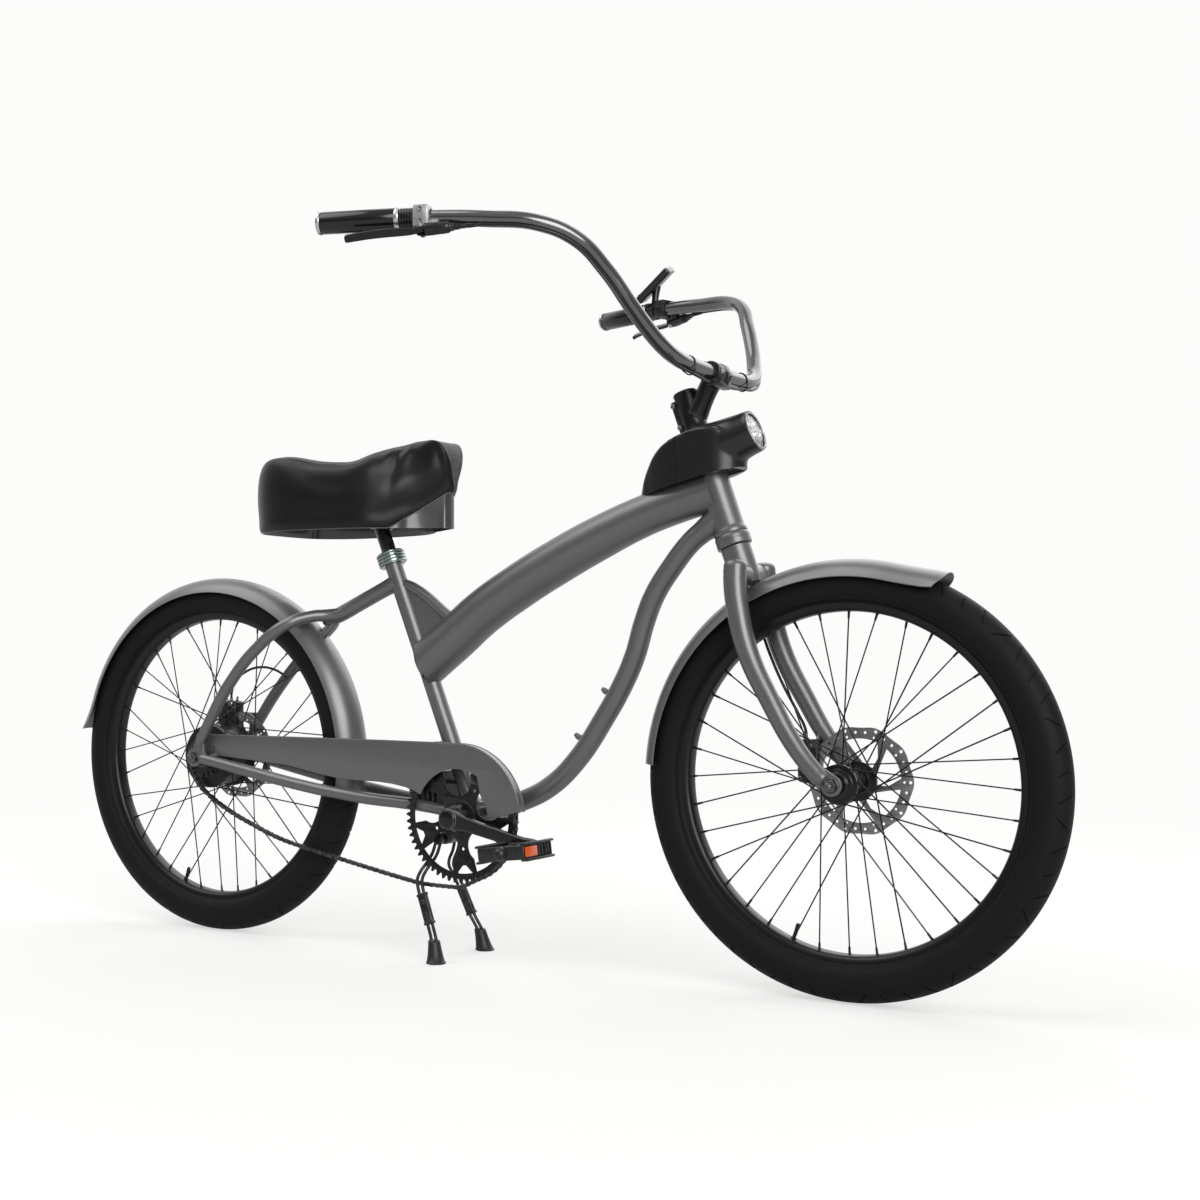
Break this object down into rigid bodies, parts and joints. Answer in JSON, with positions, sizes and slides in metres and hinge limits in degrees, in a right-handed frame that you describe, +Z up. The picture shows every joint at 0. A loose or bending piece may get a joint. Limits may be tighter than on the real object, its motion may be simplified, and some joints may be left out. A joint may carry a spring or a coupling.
{
  "type": "step-through bicycle",
  "caption": "Step-through beach bicycle with balloon tyres, disc brakes, rear hub motor, swept bars, wide saddle, chainguard and a spread-leg stand.",
  "frame": {"origin": "on the ground, under the middle of the bicycle's length and on its middle plane", "axes": "+X forward, +Y to the rider's left, +Z up; the chain side is -Y"},
  "size_m": [2.0062, 0.9624, 1.2975],
  "materials": {
    "tyre_rubber": "satin",
    "black_alloy": "anodised, satin",
    "motor_alloy": "cast and painted, satin",
    "rotor_steel": "brushed",
    "bolt_steel": "zinc plated",
    "frame_grey": "satin metallic paint",
    "battery_case": "matte",
    "collar_alloy": "machined, tinted",
    "black_plastic": "moulded, satin",
    "lens_glass": "clear, fluted",
    "grip_rubber": "smooth, semi-gloss",
    "hose_rubber": "smooth",
    "black_steel": "black, satin",
    "chain_steel": "dark, oiled",
    "foot_rubber": "matte",
    "saddle_leather": "smooth synthetic leather, semi-gloss",
    "gloss_black_plastic": "gloss"
  },
  "bodies": {
    "frame": {"head_tube": "frame_grey", "top_tube": "frame_grey", "battery_pack": "battery_case", "down_tube": "frame_grey", "seat_tube": "frame_grey", "gusset": "frame_grey", "bottom_bracket": "frame_grey", "rear_wishbone": "frame_grey", "chainstay_right": "frame_grey", "chainstay_left": "frame_grey", "chainguard": "frame_grey", "rear_fender": "frame_grey", "controller_box": "black_alloy", "headlight_cowl": "black_plastic", "headlight_lens": "lens_glass", "headset_lower_cup": "black_alloy", "seat_collar": "collar_alloy", "rear_caliper": "black_alloy", "rear_brake_hose": "hose_rubber", "rear_axle": "bolt_steel", "chain": "chain_steel"},
    "steering": {"fork_crown": "frame_grey", "fork_leg_right": "frame_grey", "fork_leg_left": "frame_grey", "stem": "black_alloy", "handlebar": "frame_grey", "grip_right": "grip_rubber", "grip_left": "grip_rubber", "lever_perch_right": "black_alloy", "lever_perch_left": "black_alloy", "display": "black_plastic", "brake_hose_right": "hose_rubber", "brake_hose_left": "hose_rubber", "front_brake_hose": "hose_rubber", "front_fender": "frame_grey", "front_caliper": "black_alloy", "front_axle": "bolt_steel"},
    "brake_lever_right": {"brake_lever_right": "black_alloy"},
    "brake_lever_left": {"brake_lever_left": "black_alloy"},
    "front_wheel": {"front_tyre": "tyre_rubber", "front_rim": "black_alloy", "front_hub": "black_alloy", "front_rotor": "rotor_steel"},
    "rear_wheel": {"rear_tyre": "tyre_rubber", "rear_rim": "black_alloy", "rear_hub_motor": "motor_alloy", "rear_rotor": "rotor_steel"},
    "rear_sprocket": {"rear_sprocket": "black_steel"},
    "crank": {"crank_axle": "bolt_steel", "chainring": "black_steel", "crank_arm_right": "black_alloy", "crank_arm_left": "black_alloy"},
    "pedal_right": {"pedal_right": "black_plastic"},
    "pedal_left": {"pedal_left": "black_plastic"},
    "stand": {"kickstand": "black_steel", "stand_foot_right": "foot_rubber", "stand_foot_left": "foot_rubber"},
    "saddle": {"seatpost": "black_alloy", "saddle_base": "gloss_black_plastic", "saddle_cushion": "saddle_leather"}
  },
  "joints": [
    {"name": "steering", "type": "hinge", "parent": "frame", "child": "steering", "pos_m": [0.44345, 0, 0.7865], "axis": [-0.3322, 0, 0.9432], "range_deg": [-50, 50]},
    {"name": "front_wheel", "type": "hinge", "parent": "steering", "child": "front_wheel", "pos_m": [0.65965, 0, 0.3435], "axis": [0, 1, 0], "continuous": true},
    {"name": "rear_wheel", "type": "hinge", "parent": "frame", "child": "rear_wheel", "pos_m": [-0.64035, 0, 0.3435], "axis": [0, 1, 0], "continuous": true},
    {"name": "crank", "type": "hinge", "parent": "frame", "child": "crank", "pos_m": [-0.03735, 0, 0.2565], "axis": [0, 1, 0], "continuous": true, "deforming": ["chain"]},
    {"name": "rear_sprocket", "type": "hinge", "parent": "frame", "child": "rear_sprocket", "pos_m": [-0.64035, 0, 0.3435], "axis": [0, 1, 0], "continuous": true},
    {"name": "pedal_right", "type": "hinge", "parent": "crank", "child": "pedal_right", "pos_m": [0.13414, -0.144, 0.21691], "axis": [0, 1, 0], "continuous": true},
    {"name": "pedal_left", "type": "hinge", "parent": "crank", "child": "pedal_left", "pos_m": [-0.20884, 0.144, 0.29609], "axis": [0, 1, 0], "continuous": true},
    {"name": "brake_lever_right", "type": "hinge", "parent": "steering", "child": "brake_lever_right", "pos_m": [0.14278, -0.42717, 1.1892], "axis": [-0.2318, 0.6681, -0.7071], "range_deg": [0, 10], "stiffness_Nm_per_rad": 4, "springref_deg": -2.86},
    {"name": "brake_lever_left", "type": "hinge", "parent": "steering", "child": "brake_lever_left", "pos_m": [0.14278, 0.42717, 1.1892], "axis": [0.2318, 0.6681, 0.7071], "range_deg": [0, 10], "stiffness_Nm_per_rad": 4, "springref_deg": -2.86},
    {"name": "kickstand", "type": "hinge", "parent": "frame", "child": "stand", "pos_m": [-0.09535, 0, 0.2135], "axis": [0, 1, 0], "range_deg": [0, 78], "stiffness_Nm_per_rad": 4, "springref_deg": -34.38},
    {"name": "saddle_height", "type": "slide", "parent": "frame", "child": "saddle", "axis": [-0.3702, 0, 0.929], "range_m": [-0.018, 0.1]}
  ],
  "couplings": [
    {"joint": "rear_sprocket", "follows": "crank", "ratio": 3.1111}
  ]
}
